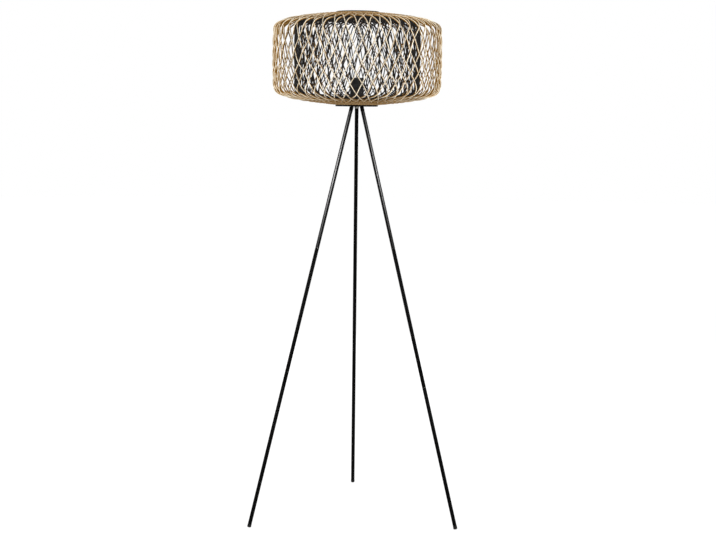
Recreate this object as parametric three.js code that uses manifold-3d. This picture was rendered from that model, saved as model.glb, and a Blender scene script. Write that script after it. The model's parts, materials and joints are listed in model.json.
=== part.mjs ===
// A floor lamp: a drum shade woven in two layers of rattan cane, black inside and natural outside,
// on a slim tripod of round steel tubes that screw together in three sections each.
// Lengths are millimetres, +Z is up and the floor is Z = 0. The origin is on the floor, in the
// middle of the lamp's bounding box. One leg points to the rear (+Y), the others front left and right.
import * as THREE from "three";
import { mergeVertices } from "three/addons/utils/BufferGeometryUtils.js";
import Module from "manifold-3d";

const wasm = await Module();
wasm.setup();

// Clearances
const seat_gap = 0.3;               // between pieces that are pressed, screwed or seated on each other
const cut_overrun = 4;              // how far a cutting tool runs past what it cuts

// Tripod
const plate_height = 1243;          // underside of the hub plate above the floor
const foot_circle_radius = 354;     // where the legs' centre lines meet the floor
const leg_head_radius = 17;         // where the legs' centre lines meet the hub plate
const leg_diameter = 11.5;
const leg_wall = 1;
const leg_names = ["rear", "left", "right"];
const section_names = ["upper", "middle", "lower"];

// Screwed joints of the legs
const socket_diameter = 12;         // stub that is welded under the hub plate
const socket_length = 14;
const stud_diameter = 6;
const stud_reach = 12;              // screwed into the bush of the next piece
const stud_chamfer = 0.8;
const stud_plug_length = 14;        // pressed into the top of a tube
const bush_length = 15;             // pressed into the end of a tube

// Foot caps
const cap_diameter = 12;
const cap_height = 10;
const cap_fillet = 3;
const cap_spigot_length = 12;       // held inside the tube

// Hub plate and what passes through it
const plate_diameter = 128;
const plate_thickness = 3;
const plate_bevel = 0.6;
const nipple_diameter = 10;
const nipple_wall = 1;
const nipple_tail = 2;              // stands out below the nut
const nipple_engagement = 9;        // screwed into the lamp holder
const nut_across_flats = 14;
const nut_height = 4;
const washer_diameter = 19;
const washer_thickness = 1.2;
const cable_bush_wall = 0.6;
const cable_bush_length = 6;
const cable_bush_lip = 1.5;

// Lamp holder
const holder_diameter = 41;
const holder_wall = 2;
const holder_boss_diameter = 20;
const holder_boss_height = 6;
const holder_shoulder_height = 9;   // the cone from the boss to the full diameter
const holder_cap_height = 46;
const holder_ledge_level = 30;      // above the foot of the holder
const holder_ledge_width = 2;
const insulator_thickness = 10;
const skirt_height = 32;
const skirt_spigot_length = 5.4;
const skirt_flange_diameter = 44;
const skirt_flange_thickness = 2;
const skirt_thread_diameter = 39.4;
const shell_diameter = 27.8;        // metal screw shell for the bulb
const shell_wall = 0.5;
const shell_height = 26;
const shell_floor_opening = 16;
const holder_ring_diameter = 57;
const holder_ring_flange_thickness = 3;
const holder_ring_collar_diameter = 47;
const holder_ring_height = 12;

// Contacts of the lamp holder
const tongue_width = 5;
const tongue_thickness = 0.6;
const tongue_foot_length = 5;
const tongue_rise = 4;
const tongue_tip_length = 4;
const terminal_spacing = 15;
const terminal_size = 6;
const terminal_height = 8;
const terminal_screw_diameter = 3;
const terminal_screw_head_diameter = 4.6;
const terminal_screw_head_height = 1.4;

// Shade
const shade_diameter = 500;
const shade_height = 277;           // over the two rings
const shade_ring_diameter = 128;    // over the wire
const ring_wire_diameter = 4;
const ring_proud = 1.2;             // the rings stand this far past the outer weave
const outer_wall_height = 161.5;    // straight part of the side
const outer_weave_thickness = 3;
const inner_drum_diameter = 376;
const inner_wall_height = 172;      // straight part of its side
const inner_weave_thickness = 3;
const crossbar_width = 16;
const crossbar_thickness = 2;

// Handles of the curve that rounds a layer in to its ring, as shares of its reach and its rise
const crown_reach_share = 0.823;
const crown_drop_share = 0.29;
const shoulder_rise_share = 0.56;

// How finely the round pieces are faceted
const weave_sides = 48;
const ring_sides = 48;
const wire_sides = 6;
const plate_sides = 48;
const holder_sides = 24;
const tube_sides = 16;
const stud_sides = 12;
const fillet_steps = 4;
const crown_steps = 5;

// Finishes
const finishes = {
  black_steel: { color: 0x1b1b19, roughness: 0.42, metalness: 0.6 },
  zinc: { color: 0xb4b3ad, roughness: 0.35, metalness: 0.9 },
  brass: { color: 0xc4a052, roughness: 0.3, metalness: 0.9 },
  aluminium: { color: 0xc3c5c7, roughness: 0.3, metalness: 0.9 },
  black_plastic: { color: 0x171717, roughness: 0.5, metalness: 0 },
  rubber: { color: 0x101010, roughness: 0.8, metalness: 0 },
  ceramic: { color: 0xe6e3da, roughness: 0.35, metalness: 0 },
  natural_cane: { color: 0xcdaa76, roughness: 0.6, metalness: 0 },
  black_cane: { color: 0x211d19, roughness: 0.6, metalness: 0 },
};

// Radii and levels that follow from the sizes above
const leg_radius = leg_diameter / 2;
const leg_bore_radius = leg_radius - leg_wall;
const leg_spread = foot_circle_radius - leg_head_radius;
const leg_length = Math.hypot(leg_spread, plate_height);
const leg_tilt = Math.atan2(leg_spread, plate_height);
const stud_radius = stud_diameter / 2;
const cap_radius = cap_diameter / 2;
const nipple_radius = nipple_diameter / 2;
const nipple_bore_radius = nipple_radius - nipple_wall;
const nipple_hole_radius = nipple_radius + seat_gap;
const nut_low = plate_height - nut_height;
const plate_top = plate_height + plate_thickness;
const frame_low = plate_top + seat_gap;
const washer_low = frame_low + crossbar_thickness + seat_gap;
const holder_low = washer_low + washer_thickness;
const holder_ledge = holder_low + holder_ledge_level;
const holder_cap_top = holder_low + holder_cap_height;
const insulator_top = holder_ledge + insulator_thickness;
const holder_bore_radius = holder_diameter / 2 - holder_wall;
const skirt_low = holder_cap_top + seat_gap;
const shade_radius = shade_diameter / 2;
const ring_outer_radius = shade_ring_diameter / 2;
const wire_radius = ring_wire_diameter / 2;
const shade_middle = frame_low + shade_height / 2;

// Joining and cutting of closed solids

function to_solid(geometry) {
  const bare = geometry.clone();
  bare.deleteAttribute("normal");
  bare.deleteAttribute("uv");
  const merged = mergeVertices(bare);
  const corners = merged.index.array;
  const triangles = [];
  for (let i = 0; i < corners.length; i += 3) {
    const [a, b, c] = corners.slice(i, i + 3);
    // the poles of a turned piece leave triangles without area, which are passed over
    if (a !== b && b !== c && c !== a) triangles.push(a, b, c);
  }
  const vertProperties = new Float32Array(merged.attributes.position.array);
  const triVerts = new Uint32Array(triangles);
  return new wasm.Manifold(new wasm.Mesh({ numProp: 3, vertProperties, triVerts }));
}

function to_geometry(solid) {
  const mesh = solid.getMesh();
  const geometry = new THREE.BufferGeometry();
  geometry.setAttribute("position", new THREE.BufferAttribute(mesh.vertProperties, 3));
  geometry.setIndex(new THREE.BufferAttribute(mesh.triVerts, 1));
  geometry.computeVertexNormals();
  return geometry;
}

function cut(geometry, ...tools) {
  const body = tools.reduce((rest, tool) => rest.subtract(to_solid(tool)), to_solid(geometry));
  return to_geometry(body);
}

function join(geometry, ...others) {
  const body = others.reduce((whole, other) => whole.add(to_solid(other)), to_solid(geometry));
  return to_geometry(body);
}

// Shapes that several pieces share. An outline is a list of [radius, level] corners, and it goes
// anticlockwise with the radius to the right and the level up.

function turned(outline, sides) {
  const points = outline.map(([radius, level]) => new THREE.Vector2(radius, level));
  return new THREE.LatheGeometry(points, sides).rotateX(Math.PI / 2);
}

function sleeve(inner_radius, outer_radius, low, high, sides) {
  const start = [inner_radius, low];
  return turned([start, [outer_radius, low], [outer_radius, high], [inner_radius, high], start], sides);
}

function rod(radius, low, high, sides) {
  return turned([[0, low], [radius, low], [radius, high], [0, high]], sides);
}

function wire_ring(outer_radius, level) {
  const ring = new THREE.TorusGeometry(outer_radius - wire_radius, wire_radius, wire_sides, ring_sides);
  return ring.translate(0, 0, level);
}

function piece(name, geometry, finish) {
  const mesh = new THREE.Mesh(geometry, new THREE.MeshStandardMaterial(finishes[finish]));
  mesh.name = name;
  return mesh;
}

// Legs. In a leg's own frame the centre line is the Z axis, zero is at the hub plate and the foot
// is at minus the leg's length. X points outwards, away from the lamp's axis.

function level_block(side, low) {
  // a block with level faces, as it lies in the frame of a leaning leg
  return new THREE.BoxGeometry(side, side, side).translate(0, 0, low + side / 2);
}

function leg_socket() {
  const radius = socket_diameter / 2;
  const top = radius * Math.tan(leg_tilt) + cut_overrun;
  const tip = -(socket_length + stud_reach);
  const stub = turned([
    [0, tip],
    [stud_radius - stud_chamfer, tip],
    [stud_radius, tip + stud_chamfer],
    [stud_radius, -socket_length],
    [radius, -socket_length],
    [radius, top],
    [0, top],
  ], tube_sides);
  // the stub is mitred to lie flat under the plate
  const above_plate = level_block(socket_diameter + 4 * cut_overrun, -seat_gap).rotateY(leg_tilt);
  return cut(stub, above_plate);
}

function threaded_bush(low) {
  return sleeve(stud_radius + seat_gap, leg_bore_radius - seat_gap, low, low + bush_length, stud_sides);
}

function stud_plug(tube_top) {
  const plug_radius = leg_bore_radius - seat_gap;
  const tip = tube_top + seat_gap + stud_reach;
  return turned([
    [0, tube_top - stud_plug_length],
    [plug_radius, tube_top - stud_plug_length],
    [plug_radius, tube_top],
    [stud_radius, tube_top],
    [stud_radius, tip - stud_chamfer],
    [stud_radius - stud_chamfer, tip],
    [0, tip],
  ], stud_sides);
}

function foot_cap() {
  const collar_top = -(leg_length - cap_height);
  const spigot_radius = leg_bore_radius - seat_gap;
  const outline = [[0, -leg_length]];
  for (let step = 0; step <= fillet_steps; step += 1) {
    const turn = (step / fillet_steps) * (Math.PI / 2);
    const radius = cap_radius - cap_fillet + cap_fillet * Math.sin(turn);
    outline.push([radius, -leg_length + cap_fillet - cap_fillet * Math.cos(turn)]);
  }
  outline.push([cap_radius, collar_top]);
  outline.push([spigot_radius, collar_top]);
  outline.push([spigot_radius, collar_top + cap_spigot_length]);
  outline.push([0, collar_top + cap_spigot_length]);
  // the cap is square to its leg, so its inner edge has a small flat that stands on the floor
  const side = cap_diameter + 4 * cut_overrun;
  const floor = level_block(side, -plate_height - side).translate(leg_spread, 0, 0).rotateY(leg_tilt);
  return cut(turned(outline, tube_sides), floor);
}

function leg(name) {
  const parts = new THREE.Group();
  const add = (part, geometry, finish) => parts.add(piece(`leg_${name}_${part}`, geometry, finish));
  const first_top = -(socket_length + seat_gap);
  const last_low = -(leg_length - cap_height - seat_gap);
  const pitch = (first_top - last_low + seat_gap) / section_names.length;

  add("socket", leg_socket(), "black_steel");
  add("head_bush", threaded_bush(first_top - bush_length), "zinc");
  section_names.forEach((section, index) => {
    const top = first_top - index * pitch;
    const low = top - pitch + seat_gap;
    const is_last = index === section_names.length - 1;
    if (index > 0) add(`${section}_stud`, stud_plug(top), "zinc");
    add(`${section}_tube`, sleeve(leg_bore_radius, leg_radius, low, top, tube_sides), "black_steel");
    if (!is_last) add(`${section}_bush`, threaded_bush(low), "zinc");
  });
  add("foot_cap", foot_cap(), "rubber");

  parts.position.set(leg_head_radius, 0, plate_height);
  parts.rotation.y = -leg_tilt;
  const placed = new THREE.Group();
  placed.add(parts);
  return placed;
}

function tripod() {
  const legs = new THREE.Group();
  leg_names.forEach((name, index) => {
    const placed = leg(name);
    // the first leg points to +Y, and the others follow anticlockwise as seen from above
    placed.rotation.z = Math.PI / 2 + (index * 2 * Math.PI) / leg_names.length;
    legs.add(placed);
  });
  return legs;
}

// Hub: the plate under the shade, and the threaded tube that holds the lamp holder on it

function hub_plate() {
  const radius = plate_diameter / 2;
  const start = [nipple_hole_radius, plate_height];
  return turned([
    start,
    [radius - plate_bevel, plate_height],
    [radius, plate_height + plate_bevel],
    [radius, plate_top - plate_bevel],
    [radius - plate_bevel, plate_top],
    [nipple_hole_radius, plate_top],
    start,
  ], plate_sides);
}

function hub_nut() {
  const corner_radius = nut_across_flats / Math.sqrt(3);
  const outline = new THREE.Shape();
  for (let corner = 0; corner < 6; corner += 1) {
    const angle = (corner * Math.PI) / 3;
    const place = [corner_radius * Math.cos(angle), corner_radius * Math.sin(angle)];
    if (corner === 0) outline.moveTo(...place);
    else outline.lineTo(...place);
  }
  outline.closePath();
  outline.holes.push(new THREE.Path().absarc(0, 0, nipple_hole_radius, 0, 2 * Math.PI, true));
  const options = { depth: nut_height, bevelEnabled: false, curveSegments: stud_sides };
  return new THREE.ExtrudeGeometry(outline, options).translate(0, 0, nut_low);
}

function cable_bush() {
  const nipple_low = nut_low - nipple_tail;
  const outer_radius = nipple_bore_radius - seat_gap;
  const inner_radius = outer_radius - cable_bush_wall;
  const lip_top = nipple_low - seat_gap;
  const start = [inner_radius, lip_top - cable_bush_lip];
  return turned([
    start,
    [nipple_radius, lip_top - cable_bush_lip],
    [nipple_radius, lip_top],
    [outer_radius, lip_top],
    [outer_radius, lip_top + cable_bush_length],
    [inner_radius, lip_top + cable_bush_length],
    start,
  ], stud_sides);
}

function hub() {
  const parts = new THREE.Group();
  const nipple_low = nut_low - nipple_tail;
  const nipple_top = holder_low + nipple_engagement;
  const nipple = sleeve(nipple_bore_radius, nipple_radius, nipple_low, nipple_top, tube_sides);
  const washer = sleeve(nipple_hole_radius, washer_diameter / 2, washer_low, holder_low, tube_sides);
  parts.add(piece("hub_plate", hub_plate(), "black_steel"));
  parts.add(piece("hub_nut", hub_nut(), "zinc"));
  parts.add(piece("hub_nipple", nipple, "zinc"));
  parts.add(piece("cable_bush", cable_bush(), "black_plastic"));
  parts.add(piece("holder_washer", washer, "zinc"));
  return parts;
}

// Lamp holder: a cup that takes the wires, a porcelain insert with the contacts, the screw shell for
// the bulb, and a threaded skirt with its ring

function holder_cap() {
  const radius = holder_diameter / 2;
  const boss_radius = holder_boss_diameter / 2;
  const shoulder = holder_low + holder_boss_height;
  const full = shoulder + holder_shoulder_height;
  const narrow_radius = holder_bore_radius - holder_ledge_width;
  const start = [nipple_hole_radius, holder_low];
  return turned([
    start,
    [boss_radius, holder_low],
    [boss_radius, shoulder],
    [radius, full],
    [radius, holder_cap_top],
    [holder_bore_radius, holder_cap_top],
    [holder_bore_radius, holder_ledge],
    [narrow_radius, holder_ledge],
    [narrow_radius, full + holder_wall],
    [boss_radius, shoulder + holder_wall],
    [nipple_hole_radius, shoulder + holder_wall],
    start,
  ], holder_sides);
}

function holder_skirt() {
  const bore_radius = shell_diameter / 2 + seat_gap + shell_wall;
  const spigot_radius = holder_bore_radius - seat_gap;
  const flange_radius = skirt_flange_diameter / 2;
  const flange_top = skirt_low + skirt_flange_thickness;
  const thread_radius = skirt_thread_diameter / 2;
  const start = [bore_radius, skirt_low - skirt_spigot_length];
  return turned([
    start,
    [spigot_radius, skirt_low - skirt_spigot_length],
    [spigot_radius, skirt_low],
    [flange_radius, skirt_low],
    [flange_radius, flange_top],
    [thread_radius, flange_top],
    [thread_radius, skirt_low + skirt_height],
    [bore_radius, skirt_low + skirt_height],
    start,
  ], holder_sides);
}

function holder_ring() {
  const bore_radius = skirt_thread_diameter / 2 + seat_gap;
  const collar_radius = holder_ring_collar_diameter / 2;
  const flange_radius = holder_ring_diameter / 2;
  const low = skirt_low + skirt_flange_thickness + seat_gap;
  const flange_top = low + holder_ring_flange_thickness;
  const start = [bore_radius, low];
  return turned([
    start,
    [flange_radius, low],
    [flange_radius, flange_top],
    [collar_radius, flange_top],
    [collar_radius, low + holder_ring_height],
    [bore_radius, low + holder_ring_height],
    start,
  ], holder_sides);
}

function screw_shell() {
  const radius = shell_diameter / 2;
  const opening_radius = shell_floor_opening / 2;
  const start = [opening_radius, insulator_top];
  return turned([
    start,
    [radius, insulator_top],
    [radius, insulator_top + shell_height],
    [radius - shell_wall, insulator_top + shell_height],
    [radius - shell_wall, insulator_top + shell_wall],
    [opening_radius, insulator_top + shell_wall],
    start,
  ], holder_sides);
}

function centre_contact() {
  // a bent tongue, drawn from the side and extruded to its width
  const foot_end = -tongue_foot_length;
  const corners = [
    [foot_end, 0],
    [0, 0],
    [tongue_thickness, tongue_rise - tongue_thickness],
    [tongue_tip_length, tongue_rise - tongue_thickness],
    [tongue_tip_length, tongue_rise],
    [0, tongue_rise],
    [-tongue_thickness, tongue_thickness],
    [foot_end, tongue_thickness],
  ];
  const side_view = new THREE.Shape(corners.map(([x, y]) => new THREE.Vector2(x, y)));
  const tongue = new THREE.ExtrudeGeometry(side_view, { depth: tongue_width, bevelEnabled: false });
  return tongue.translate(0, 0, -tongue_width / 2).rotateX(Math.PI / 2).translate(0, 0, insulator_top);
}

function terminal_block(side) {
  const level = holder_ledge - terminal_height / 2;
  const x = (side * terminal_spacing) / 2;
  const block = new THREE.BoxGeometry(terminal_size, terminal_size, terminal_height).translate(x, 0, level);
  const reach = terminal_size / 2 + cut_overrun;
  const bore_radius = terminal_screw_diameter / 2 + seat_gap;
  const bore = rod(bore_radius, -reach, reach, stud_sides).rotateX(Math.PI / 2).translate(x, 0, level);
  return cut(block, bore);
}

function terminal_screw(side) {
  const level = holder_ledge - terminal_height / 2;
  const face = terminal_size / 2 + seat_gap;
  const screw_radius = terminal_screw_diameter / 2;
  const head_radius = terminal_screw_head_diameter / 2;
  const screw = turned([
    [0, -face],
    [screw_radius, -face],
    [screw_radius, face],
    [head_radius, face],
    [head_radius, face + terminal_screw_head_height],
    [0, face + terminal_screw_head_height],
  ], stud_sides);
  // the head looks to the front
  return screw.rotateX(Math.PI / 2).translate((side * terminal_spacing) / 2, 0, level);
}

function lamp_holder() {
  const parts = new THREE.Group();
  const insert = rod(holder_bore_radius - seat_gap, holder_ledge, insulator_top, holder_sides);
  parts.add(piece("holder_cap", holder_cap(), "black_plastic"));
  parts.add(piece("holder_insulator", insert, "ceramic"));
  parts.add(piece("holder_shell", screw_shell(), "aluminium"));
  parts.add(piece("holder_skirt", holder_skirt(), "black_plastic"));
  parts.add(piece("holder_ring", holder_ring(), "black_plastic"));
  parts.add(piece("centre_contact", centre_contact(), "brass"));
  [["live", -1], ["neutral", 1]].forEach(([name, side]) => {
    parts.add(piece(`terminal_${name}`, terminal_block(side), "brass"));
    parts.add(piece(`terminal_screw_${name}`, terminal_screw(side), "zinc"));
  });
  return parts;
}

// Shade: both layers are bound to a wire ring at each end, the natural one from outside

function crown_curve(radius, wall_half, end_radius, end_level) {
  // from the top of the straight wall, round the shoulder and in to the ring
  const reach = radius - end_radius;
  const rise = end_level - wall_half;
  return new THREE.CubicBezierCurve(
    new THREE.Vector2(radius, wall_half),
    new THREE.Vector2(radius, wall_half + shoulder_rise_share * rise),
    new THREE.Vector2(end_radius + crown_reach_share * reach, end_level - crown_drop_share * rise),
    new THREE.Vector2(end_radius, end_level),
  ).getPoints(crown_steps).map((point) => [point.x, point.y]);
}

function woven_shell(radius, wall_height, end_radius, end_level, thickness) {
  // a straight wall that curves in to a ring at both ends
  const side = (inset) => {
    const upper = crown_curve(radius - inset, wall_height / 2, end_radius, end_level - inset);
    const lower = upper.map(([r, level]) => [r, -level]).reverse();
    return [...lower, ...upper];
  };
  const outside = side(0);
  const outline = [...outside, ...side(thickness).reverse(), outside[0]];
  return turned(outline.map(([r, level]) => [r, level + shade_middle]), weave_sides);
}

function outer_weave() {
  const end_radius = ring_outer_radius + seat_gap;
  const end_level = shade_height / 2 - ring_proud;
  return woven_shell(shade_radius, outer_wall_height, end_radius, end_level, outer_weave_thickness);
}

function inner_weave() {
  // its ends lie between the two rings, against the inside of their wire
  const end_radius = ring_outer_radius - ring_wire_diameter;
  const end_level = shade_height / 2 - ring_wire_diameter - seat_gap;
  return woven_shell(inner_drum_diameter / 2, inner_wall_height, end_radius, end_level, inner_weave_thickness);
}

function shade_bottom_frame() {
  const ring = wire_ring(ring_outer_radius, frame_low + wire_radius);
  const length = shade_ring_diameter - ring_wire_diameter;
  const level = frame_low + crossbar_thickness / 2;
  const bar = new THREE.BoxGeometry(length, crossbar_width, crossbar_thickness).translate(0, 0, level);
  const hole_top = frame_low + crossbar_thickness + cut_overrun;
  const hole = rod(nipple_hole_radius, frame_low - cut_overrun, hole_top, tube_sides);
  return cut(join(ring, bar), hole);
}

function shade() {
  const parts = new THREE.Group();
  const top_ring = wire_ring(ring_outer_radius, frame_low + shade_height - wire_radius);
  parts.add(piece("shade_bottom_frame", shade_bottom_frame(), "black_steel"));
  parts.add(piece("shade_top_ring", top_ring, "black_steel"));
  parts.add(piece("inner_weave", inner_weave(), "black_cane"));
  parts.add(piece("outer_weave", outer_weave(), "natural_cane"));
  return parts;
}

// The whole lamp, moved so that the origin is in the middle of its bounding box. The rear foot
// reaches furthest to the rear, and the shade furthest to the front.

const cap_core_radius = cap_radius - cap_fillet;
const cap_reach = cap_core_radius * Math.cos(leg_tilt) - cap_fillet * Math.sin(leg_tilt) + cap_fillet;
const rear_reach = foot_circle_radius + cap_reach;

const lamp = new THREE.Group();
lamp.add(tripod(), hub(), lamp_holder(), shade());
lamp.position.y = (shade_radius - rear_reach) / 2;

export default lamp;
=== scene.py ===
# %% [markdown]
# A floor lamp with a woven cane shade
#
# The lamp is a slim tripod of black steel tube with a drum shade on top. The shade is woven twice:
# an inner drum of black stained cane and an outer one of natural cane, both from thin canes that
# cross on the diagonal.
#
# The solids of the lamp are loaded first. They give each piece its place and its size, so the
# script asks them for levels and radii instead of measuring anything again.

# %% Load the solids
import json
import math

import bmesh
import bpy
from mathutils import Matrix, Vector, noise
from mathutils.geometry import interpolate_bezier


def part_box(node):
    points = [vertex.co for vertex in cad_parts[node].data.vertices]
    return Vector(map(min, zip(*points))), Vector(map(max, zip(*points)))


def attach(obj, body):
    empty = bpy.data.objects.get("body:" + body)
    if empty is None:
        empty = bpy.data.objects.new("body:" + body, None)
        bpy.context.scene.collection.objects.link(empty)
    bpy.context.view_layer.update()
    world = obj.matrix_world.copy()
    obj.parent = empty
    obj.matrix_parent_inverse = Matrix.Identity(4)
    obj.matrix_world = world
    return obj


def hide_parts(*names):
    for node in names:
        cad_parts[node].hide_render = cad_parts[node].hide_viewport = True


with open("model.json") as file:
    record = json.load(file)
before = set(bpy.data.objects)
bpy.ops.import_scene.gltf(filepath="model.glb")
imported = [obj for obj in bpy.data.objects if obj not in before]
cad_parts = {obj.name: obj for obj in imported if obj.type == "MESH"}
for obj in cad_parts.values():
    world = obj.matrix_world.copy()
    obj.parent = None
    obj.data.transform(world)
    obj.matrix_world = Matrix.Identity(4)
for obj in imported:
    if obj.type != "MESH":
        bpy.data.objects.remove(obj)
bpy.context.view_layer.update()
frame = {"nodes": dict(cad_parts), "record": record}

plate_low, plate_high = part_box("hub_plate")
lamp_axis = Vector(((plate_low.x + plate_high.x) / 2, (plate_low.y + plate_high.y) / 2, 0))

# %% [markdown]
# The camera
#
# The lamp is seen from a little over four metres, level with the lower half of its shade, with a
# long lens that keeps the legs straight. The camera is turned down by almost seven degrees. A
# camera looks along its own -Z, so a quarter turn about X makes it look ahead first.

# %% Camera
focal_pixels = 1483.5
picture_width = 716
camera_distance = 4.460
camera_height = 1.2756
pitch, yaw, roll = math.radians(6.71), math.radians(0.117), math.radians(0.624)

camera_data = bpy.data.cameras.new("camera")
camera_data.sensor_width = 36
camera_data.lens = focal_pixels * camera_data.sensor_width / picture_width
camera = bpy.data.objects.new("camera", camera_data)
bpy.context.scene.collection.objects.link(camera)
level_look = Matrix.Rotation(-yaw, 3, "Z") @ Matrix.Rotation(math.pi / 2 - pitch, 3, "X")
look = level_look @ Matrix.Rotation(roll, 3, "Z")
camera.rotation_euler = look.to_euler()
camera.location = lamp_axis + Vector((0, -camera_distance, camera_height))
bpy.context.scene.camera = camera
bpy.context.scene.view_settings.view_transform = "Standard"
print("lens", round(camera_data.lens, 2), "mm, camera at", [round(c, 3) for c in camera.location])

# %% [markdown]
# Helpers for node materials
#
# A finish is a small tree of nodes. These helpers add a node, set its values and wire it to
# others, so that each finish below reads as a short list of what it is made of.

# %% Node helpers
def new_finish(name, colour, roughness, metallic=0.0):
    material = bpy.data.materials.new(name)
    material.use_nodes = True
    material.diffuse_color = (*colour, 1)
    tree = material.node_tree
    shader = tree.nodes["Principled BSDF"]
    shader.inputs["Base Color"].default_value = (*colour, 1)
    shader.inputs["Roughness"].default_value = roughness
    shader.inputs["Metallic"].default_value = metallic
    return material, tree, shader


def add_node(tree, kind, inputs=None, **settings):
    made = tree.nodes.new(kind)
    for key, value in settings.items():
        setattr(made, key, value)
    for key, value in (inputs or {}).items():
        if isinstance(value, bpy.types.NodeSocket):
            tree.links.new(value, made.inputs[key])
        else:
            made.inputs[key].default_value = value
    return made


def calculate(tree, operation, *values):
    return add_node(tree, "ShaderNodeMath", dict(enumerate(values)), operation=operation).outputs[0]


def times(tree, first, second):
    return calculate(tree, "MULTIPLY", first, second)


def spread(tree, value, low, high, from_low=0.0, from_high=1.0):
    # carries a value from one range to another
    inputs = {"Value": value, "From Min": from_low, "From Max": from_high, "To Min": low, "To Max": high}
    return add_node(tree, "ShaderNodeMapRange", inputs).outputs[0]


def blend_colours(tree, share, first, second):
    made = add_node(tree, "ShaderNodeMix", {0: share}, data_type="RGBA")
    for socket, colour in ((6, first), (7, second)):
        if isinstance(colour, bpy.types.NodeSocket):
            tree.links.new(colour, made.inputs[socket])
        else:
            made.inputs[socket].default_value = (*colour, 1)
    return made.outputs[2]


def grain_noise(tree, vector, scale, detail=2.0):
    inputs = {"Vector": vector, "Scale": scale, "Detail": detail}
    return add_node(tree, "ShaderNodeTexNoise", inputs).outputs["Fac"]


def raise_bumps(tree, shader, height, strength, distance):
    inputs = {"Height": height, "Strength": strength, "Distance": distance}
    bump = add_node(tree, "ShaderNodeBump", inputs)
    tree.links.new(bump.outputs["Normal"], shader.inputs["Normal"])


def object_place(tree):
    return add_node(tree, "ShaderNodeTexCoord").outputs["Object"]


# %% [markdown]
# Cane
#
# The shade is woven from thin rattan canes, oval in the natural layer and round in the black one.
# Each cane is painted pale on the side that faces outwards, as painted light from lamps in front,
# and tan on its flanks and on the side that faces the bulb, as painted shade. So a cane looks cream
# where one sees it from the front and tan where one sees it from the side. Near the rings, where the
# canes crowd together, painted shade makes them tan all round. Each cane has its own tone and is
# mottled along its length, fine fibres run along it, and every few hundred millimetres it has a
# faint darker knot.
#
# The pattern has to follow each cane round the shade, so it reads a UV map that is laid with the
# canes: U is the length along the cane in metres, and V is the cane's number plus the place round
# its section.

# %% Cane finishes
# painted light on the outward side of each cane, painted shade on its flanks and back
lit_side_from, lit_side_full = 0.42, 0.86        # cosine of the turn, 1 where the cane faces outwards
# painted shade near the rings, where the canes crowd together
crowded_until, open_from = 0.125, 0.215  # metres from the lamp's axis
crowded_painted_light = 0.12
knots_per_metre, knot_share = 3.1, 0.009
fibre_depth = 0.0003


def cane_finish(name, lit_pale, tan, brown, roughness):
    material, tree, shader = new_finish(name, lit_pale, roughness)
    uv = add_node(tree, "ShaderNodeUVMap", uv_map="canes").outputs[0]
    split = add_node(tree, "ShaderNodeSeparateXYZ", {"Vector": uv})
    along, number_and_place = split.outputs[0], split.outputs[1]
    number = calculate(tree, "FLOOR", number_and_place)
    turn = times(tree, calculate(tree, "FRACT", number_and_place), 2 * math.pi)
    outwards = calculate(tree, "COSINE", turn)
    white_noise = add_node(tree, "ShaderNodeTexWhiteNoise", {"W": number}, noise_dimensions="1D")
    own_tone = white_noise.outputs["Value"]

    # round the section the pattern closes on itself, because it follows the sine and cosine
    fibre_inputs = {
        "X": times(tree, calculate(tree, "SINE", turn), 4.0),
        "Y": times(tree, outwards, 4.0),
        "Z": calculate(tree, "ADD", times(tree, along, 9.0), times(tree, number, 3.7)),
    }
    fibre_place = add_node(tree, "ShaderNodeCombineXYZ", fibre_inputs).outputs[0]
    fibres = grain_noise(tree, fibre_place, 1.0, 3.0)
    patch_inputs = {"X": times(tree, along, 14.0), "Y": times(tree, number, 5.3)}
    patch_place = add_node(tree, "ShaderNodeCombineXYZ", patch_inputs).outputs[0]
    patches = grain_noise(tree, patch_place, 1.0, 2.0)

    # knots: narrow bands that fall at another place on each cane
    shift = times(tree, own_tone, 9.0)
    knot_place = calculate(tree, "ADD", times(tree, along, knots_per_metre), shift)
    off_middle = calculate(tree, "SUBTRACT", calculate(tree, "FRACT", knot_place), 0.5)
    knot = spread(tree, calculate(tree, "ABSOLUTE", off_middle), 1.0, 0.0, 0.0, knot_share)

    # painted light: pale where the cane faces outwards, painted shade on its flanks and back, and more
    # painted shade near the rings where the canes crowd
    painted_light = spread(tree, outwards, 0.0, 1.0, lit_side_from, lit_side_full)
    flat = add_node(tree, "ShaderNodeVectorMath", {0: object_place(tree), 1: (1, 1, 0)},
                    operation="MULTIPLY")
    from_axis = add_node(tree, "ShaderNodeVectorMath", {0: flat.outputs[0], 1: lamp_axis},
                         operation="DISTANCE").outputs["Value"]
    lit_share_away_from_rings = spread(tree, from_axis, crowded_painted_light, 1.0, crowded_until, open_from)
    tone = blend_colours(tree, times(tree, painted_light, lit_share_away_from_rings), tan, lit_pale)

    dark_fibre, dark_knot = tuple(0.6 * c for c in brown), tuple(0.5 * c for c in brown)
    tone = blend_colours(tree, spread(tree, own_tone, 0.0, 0.35), tone, brown)
    tone = blend_colours(tree, spread(tree, patches, 0.0, 0.5, 0.45, 0.8), tone, brown)
    tone = blend_colours(tree, spread(tree, fibres, 0.0, 0.6, 0.48, 0.75), tone, dark_fibre)
    tone = blend_colours(tree, times(tree, knot, 0.5), tone, dark_knot)
    tree.links.new(tone, shader.inputs["Base Color"])
    rough = spread(tree, fibres, roughness - 0.08, roughness + 0.14, 0.3, 0.7)
    tree.links.new(rough, shader.inputs["Roughness"])
    shader.inputs["Specular IOR Level"].default_value = 0.2
    ridges = calculate(tree, "ADD", fibres, times(tree, knot, 0.8))
    raise_bumps(tree, shader, ridges, 0.5, fibre_depth)
    return material


finishes = {}
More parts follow.
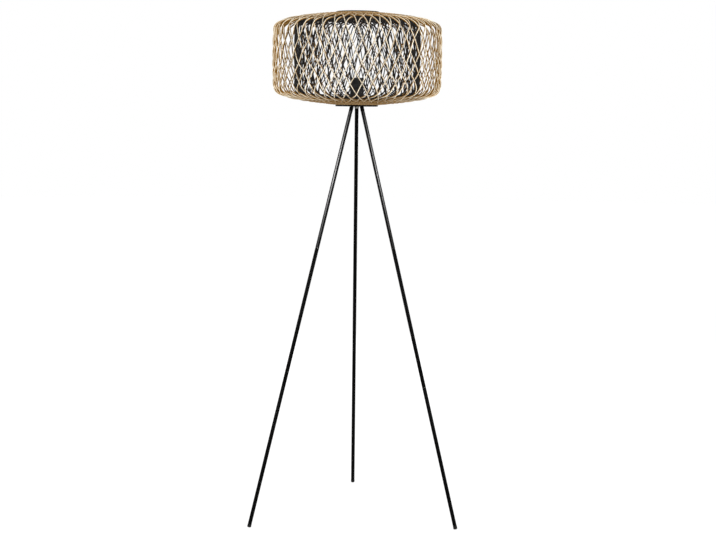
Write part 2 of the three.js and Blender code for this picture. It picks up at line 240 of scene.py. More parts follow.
# each cane finish: a painted lit colour for the outward side, a tan for the painted shade on flanks,
# back and near the rings, and the cane's own darker brown
finishes["natural_cane"] = cane_finish(
    "natural_cane", lit_pale=(0.97, 0.91, 0.74), tan=(0.295, 0.152, 0.028), brown=(0.20, 0.102, 0.018),
    roughness=0.50)
finishes["black_cane"] = cane_finish(
    "black_cane", lit_pale=(0.009, 0.008, 0.0065), tan=(0.007, 0.006, 0.005),
    brown=(0.004, 0.0035, 0.003), roughness=0.55)
print("cane finishes:", sorted(finishes))

# %% [markdown]
# Metal, plastic, rubber and porcelain
#
# The legs and rings have a satin black powder coat: almost black, with the very fine orange peel
# that powder leaves when it melts. The fittings are zinc-plated, brass and aluminium. Plated and
# turned metal shows faint rings from the lathe and dull patches. The holder is moulded in matt
# black, its insert is glazed porcelain, and the caps under the feet are rubber.

# %% Finishes of the frame and the lamp holder
def coated_finish(name, colour, roughness, peel_scale, peel_strength, specular):
    material, tree, shader = new_finish(name, colour, roughness)
    place = object_place(tree)
    cloud = grain_noise(tree, place, 38.0, 3.0)
    lighter = tuple(1.7 * c for c in colour)
    tone = blend_colours(tree, spread(tree, cloud, 0.0, 1.0, 0.35, 0.7), colour, lighter)
    tree.links.new(tone, shader.inputs["Base Color"])
    rough = spread(tree, cloud, roughness - 0.06, roughness + 0.10, 0.3, 0.7)
    tree.links.new(rough, shader.inputs["Roughness"])
    shader.inputs["Specular IOR Level"].default_value = specular
    raise_bumps(tree, shader, grain_noise(tree, place, peel_scale), peel_strength, 0.0002)
    return material


def metal_finish(name, colour, roughness, line_scale):
    material, tree, shader = new_finish(name, colour, roughness, metallic=1.0)
    place = object_place(tree)
    stretched = add_node(tree, "ShaderNodeMapping", {"Vector": place, "Scale": (1, 1, line_scale)})
    lines = grain_noise(tree, stretched.outputs[0], 90.0, 4.0)
    dull = tuple(0.7 * c for c in colour)
    cloud = grain_noise(tree, place, 60.0)
    tone = blend_colours(tree, spread(tree, cloud, 0.0, 1.0, 0.4, 0.7), colour, dull)
    tree.links.new(tone, shader.inputs["Base Color"])
    rough = spread(tree, lines, roughness - 0.08, roughness + 0.15, 0.3, 0.7)
    tree.links.new(rough, shader.inputs["Roughness"])
    raise_bumps(tree, shader, lines, 0.15, 0.0001)
    return material


# colour, roughness, scale and strength of the orange peel, specular level
coats = {
    "black_steel": ((0.0010, 0.0010, 0.0010), 0.36, 900.0, 0.12, 0.02),
    "black_plastic": ((0.012, 0.012, 0.012), 0.50, 1600.0, 0.20, 0.12),
    "rubber": ((0.007, 0.007, 0.007), 0.78, 700.0, 0.30, 0.1),
    "ceramic": ((0.70, 0.68, 0.62), 0.24, 260.0, 0.05, 0.5),
}
# colour, roughness, and how closely the lines of the lathe lie
metals = {
    "zinc": ((0.46, 0.45, 0.42), 0.36, 14.0),
    "brass": ((0.60, 0.40, 0.13), 0.32, 3.0),
    "aluminium": ((0.58, 0.59, 0.60), 0.30, 18.0),
}
finishes.update({name: coated_finish(name, *values) for name, values in coats.items()})
finishes.update({name: metal_finish(name, *values) for name, values in metals.items()})

slot_of_node = {row["node"]: row["material_slot"] for row in frame["record"]["subparts"]}
for name, solid in frame["nodes"].items():
    solid.data.materials.clear()
    solid.data.materials.append(finishes[slot_of_node[name]])
print("finishes:", len(finishes), "given to", len(slot_of_node), "solids")

# %% [markdown]
# Turned pieces
#
# Most of the frame is turned: tubes, caps, bushes, the plate and the lamp holder. Each starts as
# half of its section, drawn as one flat face beside the axis. Bevelling the corners of that face
# before it is spun gives every edge a small round, as a real edge has, and the round catches the
# light. Then the face goes, its outline is spun once round, and the first and last copy are merged.

# %% Helpers that turn and finish a piece
def half_section(outline, rounding):
    shape = bmesh.new()
    corners = [shape.verts.new((radius, 0, level)) for radius, level in outline]
    shape.faces.new(corners)
    off_axis = [v for v in corners if v.co.x > 1e-6]
    if rounding:
        bmesh.ops.bevel(shape, geom=off_axis, offset=rounding, offset_type="OFFSET", segments=2,
                        profile=0.5, affect="VERTICES", clamp_overlap=True, material=-1)
    bmesh.ops.delete(shape, geom=shape.faces[:], context="FACES_ONLY")
    edges_on_axis = [e for e in shape.edges if all(v.co.x < 1e-6 for v in e.verts)]
    bmesh.ops.delete(shape, geom=edges_on_axis, context="EDGES")
    return shape


def spin_round(shape, sides):
    bmesh.ops.spin(shape, geom=shape.verts[:] + shape.edges[:], cent=(0, 0, 0), axis=(0, 0, 1),
                   angle=2 * math.pi, steps=sides, use_merge=True)


def turned(outline, sides, rounding):
    shape = half_section(outline, rounding)
    spin_round(shape, sides)
    bmesh.ops.remove_doubles(shape, verts=shape.verts[:], dist=1e-6)
    bmesh.ops.recalc_face_normals(shape, faces=shape.faces[:])
    return shape


def finish_piece(shape, name, slot, stands_for=(), place=None, sharp_angle=40):
    if place is not None:
        bmesh.ops.transform(shape, matrix=place, verts=shape.verts[:])
    mesh = bpy.data.meshes.new(name)
    shape.to_mesh(mesh)
    shape.free()
    for polygon in mesh.polygons:
        polygon.use_smooth = True
    mesh.set_sharp_from_angle(angle=math.radians(sharp_angle))
    mesh.materials.append(finishes[slot])
    made = bpy.data.objects.new(name, mesh)
    bpy.context.scene.collection.objects.link(made)
    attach(made, "root")
    if stands_for:
        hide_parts(*stands_for)
    return made


def add_to(whole, part):
    mesh = bpy.data.meshes.new("part")
    part.to_mesh(mesh)
    part.free()
    whole.from_mesh(mesh)
    bpy.data.meshes.remove(mesh)


on_axis = Matrix.Translation(lamp_axis)
print("lamp axis at", [round(c, 5) for c in lamp_axis])

# %% [markdown]
# The legs
#
# Each leg is made along its own centre line, with zero under the plate and the foot at minus its
# length, and is then leant and swung into place. The top stub is cut level to lie flat on the
# plate, and the cap at the foot is cut level where it stands on the floor: a plane bisects the
# piece and clears what is outside it, and the hole it leaves is filled.

# %% Sizes of the legs
plate_underside = plate_low.z
foot_circle_radius, leg_head_radius = 0.354, 0.017
leg_radius, leg_wall = 0.00575, 0.001
socket_radius, socket_length = 0.006, 0.014
stud_radius, stud_reach = 0.003, 0.012
cap_radius, cap_height, cap_fillet, spigot_length = 0.006, 0.010, 0.003, 0.012
above_plate = 0.006  # the socket is drawn this much too long, and then cut level
seat_gap = 0.0003

leg_spread = foot_circle_radius - leg_head_radius
leg_length = math.hypot(leg_spread, plate_underside)
leg_tilt = math.atan2(leg_spread, plate_underside)
leg_tops = {"rear": 90, "left": 210, "right": 330}
print("leg length", round(leg_length, 4), "tilt", round(math.degrees(leg_tilt), 2), "degrees")


def leg_place(azimuth):
    swing = Matrix.Rotation(math.radians(azimuth), 4, "Z")
    head = Matrix.Translation((leg_head_radius, 0, plate_underside))
    return on_axis @ swing @ head @ Matrix.Rotation(-leg_tilt, 4, "Y")


def cut_level(shape, point, outward):
    # a level plane, given in the leaning leg's own frame
    geometry = shape.verts[:] + shape.edges[:] + shape.faces[:]
    cut = bmesh.ops.bisect_plane(shape, geom=geometry, dist=1e-7, plane_co=point,
                                 plane_no=outward, clear_outer=True)
    rim = [g for g in cut["geom_cut"] if isinstance(g, bmesh.types.BMEdge)]
    bmesh.ops.contextual_create(shape, geom=rim)
    bmesh.ops.recalc_face_normals(shape, faces=shape.faces[:])


# %% Legs
def leg_socket(up):
    shape = turned([
        (0, -socket_length - stud_reach), (stud_radius, -socket_length - stud_reach),
        (stud_radius, -socket_length), (socket_radius, -socket_length),
        (socket_radius, above_plate), (0, above_plate),
    ], sides=40, rounding=0.0005)
    cut_level(shape, up * -seat_gap, up)
    return shape


def leg_tube(low, high):
    bore = leg_radius - leg_wall
    corners = [(bore, low), (leg_radius, low), (leg_radius, high), (bore, high)]
    return turned(corners, sides=48, rounding=0.0004)


def foot_cap(up, foot):
    outline = [(0, -leg_length)]
    for step in range(7):
        turn = math.radians(15 * step)
        outline.append((cap_radius - cap_fillet + cap_fillet * math.sin(turn),
                        -leg_length + cap_fillet - cap_fillet * math.cos(turn)))
    collar = -leg_length + cap_height
    spigot = leg_radius - leg_wall - seat_gap
    spigot_top = collar + spigot_length
    outline += [(cap_radius, collar), (spigot, collar), (spigot, spigot_top), (0, spigot_top)]
    shape = turned(outline, sides=48, rounding=0.0002)
    cut_level(shape, foot, -up)
    return shape


first_top = -(socket_length + seat_gap)
last_low = -(leg_length - cap_height - seat_gap)
section_pitch = (first_top - last_low + seat_gap) / 3
upper_tubes = {}
for leg_name, azimuth in leg_tops.items():
    place = leg_place(azimuth)
    up = (Matrix.Rotation(leg_tilt, 3, "Y") @ Vector((0, 0, 1))).normalized()
    foot = Matrix.Rotation(leg_tilt, 3, "Y") @ Vector((leg_spread, 0, -plate_underside))
    node = f"leg_{leg_name}_"
    finish_piece(leg_socket(up), node + "stub", "black_steel", [node + "socket"], place)
    for index, section in enumerate(("upper", "middle", "lower")):
        top = first_top - index * section_pitch
        shape = leg_tube(top - section_pitch + seat_gap, top)
        tube = finish_piece(shape, node + section, "black_steel", [node + section + "_tube"], place)
        if section == "upper":
            upper_tubes[leg_name] = tube
    finish_piece(foot_cap(up, foot), node + "cap", "rubber", [node + "foot_cap"], place)
    print(leg_name, "leg made, three sections of", round(section_pitch, 4), "m")

# %% [markdown]
# The hub
#
# A thin round plate joins the three legs and carries the shade. A hollow threaded rod, the nipple,
# goes through its middle, with a hexagon nut below and a washer above. The nut is a six-sided disc
# whose corners are turned off by a wide bevel, as on a real nut. The thread of the nipple is a
# zigzag outline that is spun while it climbs, so it is a real helix.

# %% Hub
def climb_round(shape, pitch, sides, low, high):
    # spins an outline one turn while it climbs one pitch, and cuts it level at both ends
    bmesh.ops.spin(shape, geom=shape.verts[:] + shape.edges[:], cent=(0, 0, 0), axis=(0, 0, 1),
                   dvec=(0, 0, pitch / sides), angle=2 * math.pi, steps=sides)
    bmesh.ops.remove_doubles(shape, verts=shape.verts[:], dist=1e-6)
    for level, outward in ((low, -1), (high, 1)):
        geometry = shape.verts[:] + shape.edges[:] + shape.faces[:]
        bmesh.ops.bisect_plane(shape, geom=geometry, dist=1e-7, plane_co=(0, 0, level),
                               plane_no=(0, 0, outward), clear_outer=True)


def helix_thread(outer_radius, depth, pitch, low, high, sides=32):
    # the outline is a zigzag beside the axis, longer than the thread at both ends
    shape = bmesh.new()
    turns = math.ceil((high - low) / pitch) + 2
    start = low - 1.5 * pitch
    chain = [shape.verts.new((outer_radius - depth * (step % 2), 0, start + step * pitch / 2))
             for step in range(2 * turns + 1)]
    for first, second in zip(chain, chain[1:]):
        shape.edges.new((first, second))
    climb_round(shape, pitch, sides, low, high)
    return shape


def close_thread(shape, inner_radius):
    # the open rims go straight in to the bore, down through it, and meet
    rims = [e for e in shape.edges if e.is_boundary]
    inner = bmesh.ops.extrude_edge_only(shape, edges=rims)["geom"]
    verts = [g for g in inner if isinstance(g, bmesh.types.BMVert)]
    for vert in verts:
        flat = Vector((vert.co.x, vert.co.y, 0)).normalized() * inner_radius
        vert.co = (flat.x, flat.y, vert.co.z)
    edges = [g for g in inner if isinstance(g, bmesh.types.BMEdge)]
    bmesh.ops.bridge_loops(shape, edges=edges)
    bmesh.ops.remove_doubles(shape, verts=shape.verts[:], dist=1e-7)
    bmesh.ops.recalc_face_normals(shape, faces=shape.faces[:])
    return shape


nipple_hole = 0.0053  # radius of the hole for the nipple in the plate, the nut and the holder
shade_end_radius = 0.064  # the plate is as wide as the two rings of the shade
plate_outline = [
    (nipple_hole, plate_low.z), (shade_end_radius, plate_low.z),
    (shade_end_radius, plate_high.z), (nipple_hole, plate_high.z),
]
plate = turned(plate_outline, sides=96, rounding=0.0009)
finish_piece(plate, "plate", "black_steel", ["hub_plate"], on_axis)

nipple_low, nipple_high = (corner.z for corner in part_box("hub_nipple"))
nipple_thread = helix_thread(outer_radius=0.005, depth=0.0005, pitch=0.001,
                             low=nipple_low, high=nipple_high)
nipple = close_thread(nipple_thread, inner_radius=0.004)
finish_piece(nipple, "nipple", "zinc", ["hub_nipple"], on_axis, sharp_angle=70)

nut_low, nut_high = (corner.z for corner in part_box("hub_nut"))
nut = bmesh.new()
nut_across_flats = 0.014
nut_base = Matrix.Translation((0, 0, nut_low))
for segments, radius in ((6, nut_across_flats / math.sqrt(3)), (24, nipple_hole)):
    bmesh.ops.create_circle(nut, cap_ends=False, segments=segments, radius=radius, matrix=nut_base)
bmesh.ops.bridge_loops(nut, edges=nut.edges[:])
body = bmesh.ops.extrude_face_region(nut, geom=nut.faces[:])["geom"]
lifted = [g for g in body if isinstance(g, bmesh.types.BMVert)]
bmesh.ops.translate(nut, verts=lifted, vec=(0, 0, nut_high - nut_low))
bmesh.ops.recalc_face_normals(nut, faces=nut.faces[:])
corners = [e for e in nut.edges
           if min(v.co.xy.length for v in e.verts) > 0.006 and not e.is_boundary]
bmesh.ops.bevel(nut, geom=corners, offset=0.0006, offset_type="OFFSET", segments=2, profile=0.5,
                affect="EDGES", material=-1)
finish_piece(nut, "nut", "zinc", ["hub_nut"], on_axis, sharp_angle=30)
print("hub made, nipple from", round(nipple_low, 4), "to", round(nipple_high, 4))

# %% [markdown]
# The lamp holder
#
# Through the weave one sees a black holder for a screw-in bulb: a cup with a sloping shoulder, a
# skirt with an outside thread, and a ring that screws down on the skirt. Real rings have ribs so
# that fingers can turn them. The ribs are made by pushing every other column of the ring's rim
# inwards. Looking down through the top ring one sees the metal screw shell, whose wall is rolled
# into the round thread of the bulb, so its outline is a wave that climbs as it is spun.

# %% Holder cap and ring
holder_low, cap_top = (corner.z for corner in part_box("holder_cap"))
skirt_bottom, skirt_top = (corner.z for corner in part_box("holder_skirt"))
ring_low, ring_top = (corner.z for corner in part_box("holder_ring"))
shell_low, shell_top = (corner.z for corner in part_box("holder_shell"))

# radius and level, once round the section
cap_outline = [
    (nipple_hole, holder_low), (0.010, holder_low), (0.010, holder_low + 0.006),
    (0.0205, holder_low + 0.015), (0.0205, cap_top), (0.0185, cap_top),
    (0.0185, holder_low + 0.030), (0.0165, holder_low + 0.030), (0.0165, holder_low + 0.017),
    (0.010, holder_low + 0.008), (nipple_hole, holder_low + 0.008),
]
cup = turned(cap_outline, sides=64, rounding=0.0006)
finish_piece(cup, "holder_cup", "black_plastic", ["holder_cap"], on_axis)


def ribbed(shape, inner_limit, low, high, depth):
    columns = {}
    for vert in shape.verts:
        if vert.co.xy.length > inner_limit and low < vert.co.z < high:
            quarter_degrees = round(math.degrees(math.atan2(vert.co.y, vert.co.x)) * 4)
            columns.setdefault(quarter_degrees, []).append(vert)
    for number, angle in enumerate(sorted(columns)):
        if number % 2:
            share = 1 - depth / columns[angle][0].co.xy.length
            bmesh.ops.scale(shape, vec=(share, share, 1), verts=columns[angle])
    return len(columns)


ring_outline = [
    (0.020, ring_low), (0.0285, ring_low), (0.0285, ring_low + 0.003), (0.0235, ring_low + 0.003),
    (0.0235, ring_top), (0.020, ring_top),
]
ring = turned(ring_outline, sides=96, rounding=0.0004)
rib_columns = ribbed(ring, inner_limit=0.0225, low=ring_low + 0.0045, high=ring_top - 0.0001,
                     depth=0.0007)
finish_piece(ring, "holder_grip_ring", "black_plastic", ["holder_ring"], on_axis, sharp_angle=25)
print("holder from", round(holder_low, 4), "to", round(skirt_top, 4), "with", rib_columns, "rib columns")

# %% Holder skirt and screw shell
skirt_flange = skirt_bottom + 0.0054
thread_low = skirt_flange + 0.002
collar_outline = [
    (0.0147, skirt_bottom), (0.0182, skirt_bottom), (0.0182, skirt_flange), (0.022, skirt_flange),
    (0.022, thread_low), (0.0190, thread_low), (0.0190, skirt_top), (0.0147, skirt_top),
]
skirt = turned(collar_outline, sides=64, rounding=0.0004)
skirt_thread = helix_thread(outer_radius=0.0197, depth=0.0008, pitch=0.0025,
                            low=thread_low + 0.0005, high=skirt_top - 0.003, sides=48)
add_to(skirt, close_thread(skirt_thread, inner_radius=0.0188))
finish_piece(skirt, "holder_collar", "black_plastic", ["holder_skirt"], on_axis, sharp_angle=45)

shell = bmesh.new()
wave_pitch, wave_depth, shell_radius = 0.0036, 0.0011, 0.0139
crest_radius = shell_radius - 0.0005
steps_per_wave, shell_sides = 8, 48
waves = math.ceil((shell_top - shell_low) / wave_pitch) + 2
wave = []
for step in range(waves * steps_per_wave + 1):
    dip = wave_depth / 2 * (1 - math.cos(2 * math.pi * step / steps_per_wave))
    level = shell_low - 1.5 * wave_pitch + step * wave_pitch / steps_per_wave
    wave.append(shell.verts.new((crest_radius - dip, 0, level)))
for first, second in zip(wave, wave[1:]):
    shell.edges.new((first, second))
shell_floor = shell_low + 0.0006
climb_round(shell, wave_pitch, shell_sides, shell_floor, shell_top - 0.0002)
# the floor of the shell leaves an opening for the centre contact
contact_opening = 0.008
floor_rim = [e for e in shell.edges if e.is_boundary and e.verts[0].co.z < shell_low + 0.001]
floor_edge = bmesh.ops.extrude_edge_only(shell, edges=floor_rim)["geom"]
for vert in (g for g in floor_edge if isinstance(g, bmesh.types.BMVert)):
    inward = Vector((vert.co.x, vert.co.y, 0)).normalized() * contact_opening
    vert.co = (inward.x, inward.y, shell_floor)
bmesh.ops.recalc_face_normals(shell, faces=shell.faces[:])
bmesh.ops.solidify(shell, geom=shell.faces[:], thickness=0.0004)
finish_piece(shell, "screw_shell", "aluminium", ["holder_shell"], on_axis, sharp_angle=60)
print("screw shell with", waves - 2, "waves of thread")

# %% [markdown]
# The rings of the shade
#
# Both ends of the shade are bound to a ring of thick black wire. A small circle is drawn beside
# the axis and spun into a torus. The bottom ring is welded to a flat crossbar that the lamp holder
# clamps on the plate. The bar is a cube with rounded edges that ends inside the wire. It has no
# hole here, so the nipple runs through it.

# %% Shade rings
wire_radius = 0.002
ring_radius = shade_end_radius - wire_radius
bar_width, bar_thickness = 0.016, 0.002
bottom_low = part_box("shade_bottom_frame")[0]
top_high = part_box("shade_top_ring")[1]


def wire_ring(level, sides=96):
    shape = bmesh.new()
    across = Matrix.Translation((ring_radius, 0, level)) @ Matrix.Rotation(math.pi / 2, 4, "X")
    bmesh.ops.create_circle(shape, cap_ends=False, segments=14, radius=wire_radius, matrix=across)
    spin_round(shape, sides)
    bmesh.ops.recalc_face_normals(shape, faces=shape.faces[:])
    return shape


top_ring = wire_ring(top_high.z - wire_radius)
finish_piece(top_ring, "top_ring", "black_steel", ["shade_top_ring"], on_axis)

bottom_frame = wire_ring(bottom_low.z + wire_radius)
bar = bmesh.new()
bar_size = Matrix.Diagonal((2 * ring_radius, bar_width, bar_thickness, 1))
bar_middle = Matrix.Translation((0, 0, bottom_low.z + bar_thickness / 2))
bmesh.ops.create_cube(bar, size=1, matrix=bar_middle @ bar_size)
bmesh.ops.bevel(bar, geom=bar.edges[:], offset=0.0005, offset_type="OFFSET", segments=2, profile=0.5,
                affect="EDGES", material=-1)
add_to(bottom_frame, bar)
finish_piece(bottom_frame, "bottom_frame", "black_steel", ["shade_bottom_frame"], on_axis)
print("rings at", round(bottom_low.z, 4), "and", round(top_high.z, 4))

# %% [markdown]
# The run of a cane
#
# Seen from the side, a layer of the shade is a straight wall with a rounded shoulder that runs in
# to the ring. A cane follows that side and turns round the axis as it climbs. Near the ring it
# lies almost along it, on the crown it runs steeply outwards, and on the wall it leans about 25
# degrees from upright, a little more low down. A table gives that lean from the bottom to the top,
# and adding up small steps gives how far round the cane has gone at each of them.

# %% Side of a layer, and a cane's turn along it
half_shade = 0.1385
shade_middle = bottom_low.z + half_shade


def crown(radius, wall_end, end_radius, end_level, steps=60):
    # from the end of the wall in to the ring, with levels counted from the middle of the shade
    reach, rise = radius - end_radius, end_level - wall_end
    corners = [
        (radius, 0, wall_end),
        (radius, 0, wall_end + 0.56 * rise),
        (end_radius + 0.823 * reach, 0, end_level - 0.29 * rise),
        (end_radius, 0, end_level),
    ]
    return interpolate_bezier(*[Vector(c) for c in corners], steps)


def table_value(table, value):
    for (x0, y0), (x1, y1) in zip(table, table[1:]):
        if value <= x1:
            share = min(max((value - x0) / (x1 - x0), 0), 1)
            return y0 + share * (y1 - y0)
    return table[-1][1]


def whole_side(bottom, top):
    # the bottom crown is drawn upwards too, so it is turned over and run from its end
    return dense([Vector((p.x, 0, -p.z)) for p in reversed(bottom)] + top)


def dense(points, step=0.002):
    made = []
    for a, b in zip(points, points[1:]):
        count = max(1, round((b - a).length / step))
        made += [a.lerp(b, i / count) for i in range(count)]
    return made + [points[-1]]


def swollen(points, half_height, bulge):
    # the wall swells a little between its two shoulders, like a barrel
    swell = [bulge * max(0.0, 1 - (p.z / half_height) ** 2) ** 2 for p in points]
    return [Vector((p.x + more, 0, p.z)) for p, more in zip(points, swell)]


def walk_side(side, lean_table):
    # for each small step, a point of the side and how far round the axis the cane has gone there
    total = sum((b - a).length for a, b in zip(side, side[1:]))
    walked, turn, run = 0.0, 0.0, [(side[0], 0.0)]
    for a, b in zip(side, side[1:]):
        length = (b - a).length
        lean = math.radians(table_value(lean_table, (walked + length / 2) / total))
        turn += math.tan(lean) * length / ((a.x + b.x) / 2)
        walked += length
        run.append((b, turn))
    return run


def centred(run, level):
    # counts the turn from where the cane passes this level
    start = next(turn for point, turn in run if point.z > level)
    return [(point, turn - start) for point, turn in run]


# the canes end a little below the top of the upper ring, so that its wire shows over them
top_end, bottom_end = half_shade - 0.0054, half_shade - 0.0038
outer_wall = {"radius": 0.2468, "wall_end": 0.08075, "end_radius": 0.0628}
outer_top = crown(**outer_wall, end_level=top_end)
outer_bottom = crown(**outer_wall, end_level=bottom_end)
outer_side = whole_side(outer_bottom, outer_top)
outer_side = swollen(outer_side, half_height=0.12, bulge=0.0024)
# share of the way up, and the lean there in degrees
outer_lean = [(0, 56), (0.05, 40), (0.12, 26), (0.22, 17), (0.32, 17), (0.37, 31), (0.45, 31),
              (0.5, 26.5), (0.63, 22), (0.68, 16), (0.78, 17), (0.88, 26), (0.95, 40), (1, 56)]
outer_run = centred(walk_side(outer_side, outer_lean), level=-0.045)
print("an outer cane goes round", round(math.degrees(outer_run[-1][1] - outer_run[0][1]), 1), "degrees")

# %% [markdown]
# One cane, and the weave
#
# A cane starts as one small six-sided oval, its section. It is extruded again and again, each time
# carried to the next place along its run. At each crossing it passes over one cane and under the
# next: its height above the layer swings as a cosine of its turn, and the canes of the other
# direction swing the opposite way. The swing is a little less than the canes are thick, so they
# press into each other where they cross. Smooth shading rounds the six sides off, and few sides
# keep the weave light. One cane of each direction is then copied round the axis by a spin.
#
# A fault to know of: the extrusion is given only the end face, without its edges, and it keeps that
# face, so each station of a cane has a wall inside. The walls can't be seen, and the outside of the
# canes is whole and points outwards, but an exported mesh has more faces than it needs.

# %% Helpers that lay a cane and weave a layer
full_swing_radius = 0.11  # nearer to the axis the canes swing less
sparse_level = 0.075      # nearer to the middle than this, the stations stand further apart
lift_share = 0.46
close_spacing, wide_spacing = 0.006, 0.012


def cane_stations(run, direction, half_pitch, lift):
    spots = []
    for index, (point, turn) in enumerate(run):
        before, after = run[max(index - 1, 0)][0], run[min(index + 1, len(run) - 1)][0]
        rise = (after - before).normalized()
        outward = Vector((rise.z, 0, -rise.x))
        swing = math.cos(math.pi * turn / half_pitch) * lift * direction
        swing *= min(1.0, point.x / full_swing_radius)
        round_axis = Matrix.Rotation(direction * turn, 3, "Z")
        spots.append((round_axis @ (point + outward * swing), round_axis @ outward, point.z))
    stations, reached, length = [], -1.0, 0.0
    for index, (spot, outward, level) in enumerate(spots):
        if index:
            length += (spot - spots[index - 1][0]).length
        wanted = wide_spacing if abs(level) < sparse_level else close_spacing
        if 0 < index < len(spots) - 1 and length - reached < wanted:
            continue
        reached = length
        along = (spots[min(index + 1, len(spots) - 1)][0] - spots[max(index - 1, 0)][0]).normalized()
        across = along.cross(outward).normalized()
        place = Matrix((across, across.cross(along), along)).transposed().to_4x4()
        place.translation = spot
        stations.append((length, place))
    return stations


def lay_cane(stations, half_width, half_depth, sides=6):
    shape = bmesh.new()
    along = shape.verts.layers.float.new("along")
    around = shape.verts.layers.float.new("around")
    corners = bmesh.ops.create_circle(shape, cap_ends=True, segments=sides, radius=half_width)["verts"]
    bmesh.ops.scale(shape, vec=(1, half_depth / half_width, 1), verts=corners)
    for number, corner in enumerate(corners):
        corner[around] = number / sides
    end = shape.faces[:][0]
    bmesh.ops.transform(shape, matrix=stations[0][1], verts=corners)
    for (_, before), (length, place) in zip(stations, stations[1:]):
        grown = bmesh.ops.extrude_face_region(shape, geom=[end])["geom"]
        verts = [g for g in grown if isinstance(g, bmesh.types.BMVert)]
        end = next(g for g in grown if isinstance(g, bmesh.types.BMFace))
        bmesh.ops.transform(shape, matrix=place @ before.inverted(), verts=verts)
        for vert in verts:
            vert[along] = length
    bmesh.ops.recalc_face_normals(shape, faces=shape.faces[:])
    return shape


def weave_direction(cane, count, start_turn, drift_turn, seed, first_number):
    size = len(cane.verts)
    start = Matrix.Rotation(start_turn, 3, "Z")
    bmesh.ops.rotate(cane, verts=cane.verts[:], cent=(0, 0, 0), matrix=start)
    geometry = cane.verts[:] + cane.edges[:] + cane.faces[:]
    bmesh.ops.spin(cane, geom=geometry, cent=(0, 0, 0), axis=(0, 0, 1),
                   angle=2 * math.pi * (count - 1) / count, steps=count - 1, use_duplicate=True)
    cane.verts.index_update()
    # no two canes lie quite alike: each drifts a little to the side as it climbs
    for vert in cane.verts:
        number = vert.index // size
        drift = noise.noise(Vector((number * 7.31 + seed, vert.co.z * 11, seed * 1.7))) * drift_turn
        drift *= min(1.0, max(0.0, (vert.co.xy.length - 0.07) / 0.08))
        vert.co = Matrix.Rotation(drift, 3, "Z") @ vert.co
    along, around = cane.verts.layers.float["along"], cane.verts.layers.float["around"]
    uv = cane.loops.layers.uv.new("canes")
    for face in cane.faces:
        number = first_number + face.verts[0].index // size
        places = [loop.vert[around] for loop in face.loops]
        wraps = len(places) == 4 and max(places) - min(places) > 0.5
        for loop, place in zip(face.loops, places):
            if wraps and place < 0.5:
                place += 0.999
            loop[uv].uv = (loop.vert[along], number + place)


def woven_layer(run, count, start_turn, half_width, half_depth, drift_share, seed):
    whole = bmesh.new()
    half_pitch = math.pi / count
    lift = lift_share * (half_width + half_depth)
    for index, direction in enumerate((1, -1)):
        stations = cane_stations(run, direction, half_pitch, lift)
        cane = lay_cane(stations, half_width, half_depth)
        weave_direction(cane, count, start_turn, half_pitch * drift_share, seed + 40 * index,
                        index * count)
        add_to(whole, cane)
    length = round(stations[-1][0], 3)
    print(2 * count, "canes of", len(stations), "stations,", length, "m long each")
    return whole


# %% [markdown]
# The outer layer
#
# 48 canes climb to the right and 48 to the left, each 2.8 mm wide and 4.5 mm deep. The start angle
# turns the whole weave until the crossings at the front fall where they do on the lamp.

# %% Outer layer of natural cane
on_shade = Matrix.Translation(lamp_axis + Vector((0, 0, shade_middle)))
outer = woven_layer(outer_run, count=48, start_turn=math.radians(-90.4), half_width=0.0014,
                    half_depth=0.00225, drift_share=0.55, seed=3.0)
outer_shade = finish_piece(outer, "outer_cane", "natural_cane", ["outer_weave"], on_shade,
                           sharp_angle=65)
print("outer layer:", len(outer_shade.data.polygons), "faces")

# %% [markdown]
# The inner drum
#
# The black layer is a smaller drum of the same weave, with 60 canes each way, which climb more
# steeply. Its crowns have the same kind of shoulder and run 6.4 mm inside the outer ones, so that
# the two layers don't cut each other. For that its canes end a few millimetres short of the rings.

# %% Inner drum of black cane
layer_gap = 0.0064
inner_wall = {"radius": 0.1855, "wall_end": 0.086, "end_radius": 0.0612}
inner_top = crown(**inner_wall, end_level=top_end - layer_gap)
inner_bottom = crown(**inner_wall, end_level=bottom_end - layer_gap)
inner_side = whole_side(inner_bottom, inner_top)
inner_lean = [(0, 58), (0.07, 50), (0.15, 46), (0.24, 36), (0.3, 20), (0.35, 12), (0.65, 12),
              (0.7, 20), (0.76, 36), (0.85, 46), (0.93, 50), (1, 58)]
inner_run = centred(walk_side(inner_side, inner_lean), level=0.0)
inner = woven_layer(inner_run, count=60, start_turn=math.radians(2.0), half_width=0.0016,
                    half_depth=0.0016, drift_share=1.2, seed=11.0)
inner_shade = finish_piece(inner, "inner_cane", "black_cane", ["inner_weave"], on_shade,
                           sharp_angle=65)
print("inner drum:", len(inner_shade.data.polygons), "faces")

# %% [markdown]
# Floor and light
#
# The lamp stands in an even white studio. The floor is a wide pale disc. Camera and glossy rays see
# it darker than it is and with a glow of its own, so that it runs into the white behind it. The
# glow grows with the distance from the lamps, whose light falls off there, and so the floor stays
# evenly white. The world is a soft grey-white dome for lighting and plain white where the camera,
# metal or glass looks at it. Two large soft lamps light the shade from the left and the right, and
# a weaker one from behind. Two more stand in front only to shine: light linking ties each to the
# upper tube of one front leg, which gets its long grey highlight from it.

# %% Floor
floor_radius = 14
floor_white, seen_white = (0.86, 0.86, 0.86), (0.2, 0.2, 0.2)
lit_spot = (0.2, -2.8, 0)              # where the lamps light the floor most
lit_reach, lit_end = 2.6, 8.8          # metres from there over which their light falls off
least_glow, most_glow = 0.855, 0.945

floor_shape = bmesh.new()
bmesh.ops.create_circle(floor_shape, cap_ends=True, segments=96, radius=floor_radius)
floor_mesh = bpy.data.meshes.new("floor")
floor_shape.to_mesh(floor_mesh)
floor_shape.free()
floor = bpy.data.objects.new("floor", floor_mesh)
bpy.context.scene.collection.objects.link(floor)
floor.location.z = -0.0005

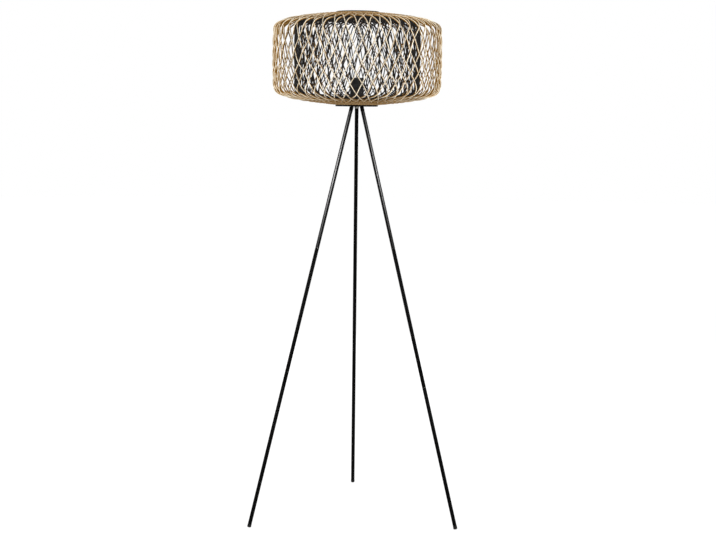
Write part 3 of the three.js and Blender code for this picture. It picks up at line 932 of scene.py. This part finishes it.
floor_finish, floor_tree, floor_shader = new_finish("floor", floor_white, 0.9)
floor_shader.inputs["Specular IOR Level"].default_value = 0.0


def seen_directly(tree):
    # 1 for the rays that show a surface to the camera, itself or in a gloss
    rays = add_node(tree, "ShaderNodeLightPath")
    seen = calculate(tree, "MAXIMUM", rays.outputs["Is Camera Ray"], rays.outputs["Is Glossy Ray"])
    return rays, seen


_, seen = seen_directly(floor_tree)
from_lamps = add_node(floor_tree, "ShaderNodeVectorMath",
                      {0: object_place(floor_tree), 1: lit_spot}, operation="DISTANCE")
fall = spread(floor_tree, from_lamps.outputs["Value"], 0.0, 1.0, lit_reach, lit_end)
share_far = calculate(floor_tree, "POWER", fall, 0.5)
glow = times(floor_tree, seen, spread(floor_tree, share_far, least_glow, most_glow))
lift = add_node(floor_tree, "ShaderNodeEmission", {"Strength": glow})
floor_tone = blend_colours(floor_tree, seen, floor_white, seen_white)
floor_tree.links.new(floor_tone, floor_shader.inputs["Base Color"])
both = add_node(floor_tree, "ShaderNodeAddShader", {0: floor_shader.outputs[0], 1: lift.outputs[0]})
floor_out = floor_tree.nodes["Material Output"]
floor_tree.links.new(both.outputs[0], floor_out.inputs["Surface"])
floor_mesh.materials.append(floor_finish)
print("floor", 2 * floor_radius, "m wide")

# %% World and lamps
dome_strength, seen_strength = 0.35, 1.0
world = bpy.data.worlds.new("studio")
bpy.context.scene.world = world
world.use_nodes = True
world_tree = world.node_tree
background = world_tree.nodes["Background"]
rays, seen = seen_directly(world_tree)
seen = calculate(world_tree, "MAXIMUM", seen, rays.outputs["Is Transmission Ray"])
background.inputs["Color"].default_value = (1, 1, 1, 1)
world_strength = spread(world_tree, seen, dome_strength, seen_strength)
world_tree.links.new(world_strength, background.inputs["Strength"])


def soft_lamp(name, location, target, size, power):
    light = bpy.data.lights.new(name, "AREA")
    light.shape = "RECTANGLE"
    light.size, light.size_y = size
    light.energy = power
    lamp = bpy.data.objects.new(name, light)
    lamp.location = location
    lamp.rotation_euler = (Vector(target) - Vector(location)).to_track_quat("-Z", "Y").to_euler()
    bpy.context.scene.collection.objects.link(lamp)
    return lamp


# place, what it points at, size in metres, power in watts
soft_lamps = {
    "key_left": ((-1.9, -3.2, 1.95), (0, 0, 1.2), (0.8, 1.2), 115),
    "fill_right": ((2.4, -2.4, 1.8), (0, 0, 1.2), (0.8, 1.2), 90),
    "back": ((0.6, 3.4, 1.5), (0, 0, 1.3), (1.6, 1.2), 70),
}
for name, values in soft_lamps.items():
    soft_lamp(name, *values)

for leg_name, side, power in (("left", -1, 4500), ("right", 1, 2800)):
    place, target, size = (1.25 * side, -2.3, 2.0), (0, 0, 1.05), (0.9, 0.9)
    strip = soft_lamp("strip_" + leg_name, place, target, size, power)
    strip.visible_diffuse = False
    lit_tube = bpy.data.collections.new("shine_" + leg_name)
    lit_tube.objects.link(upper_tubes[leg_name])
    strip.light_linking.receiver_collection = lit_tube
    strip.light_linking.blocker_collection = lit_tube
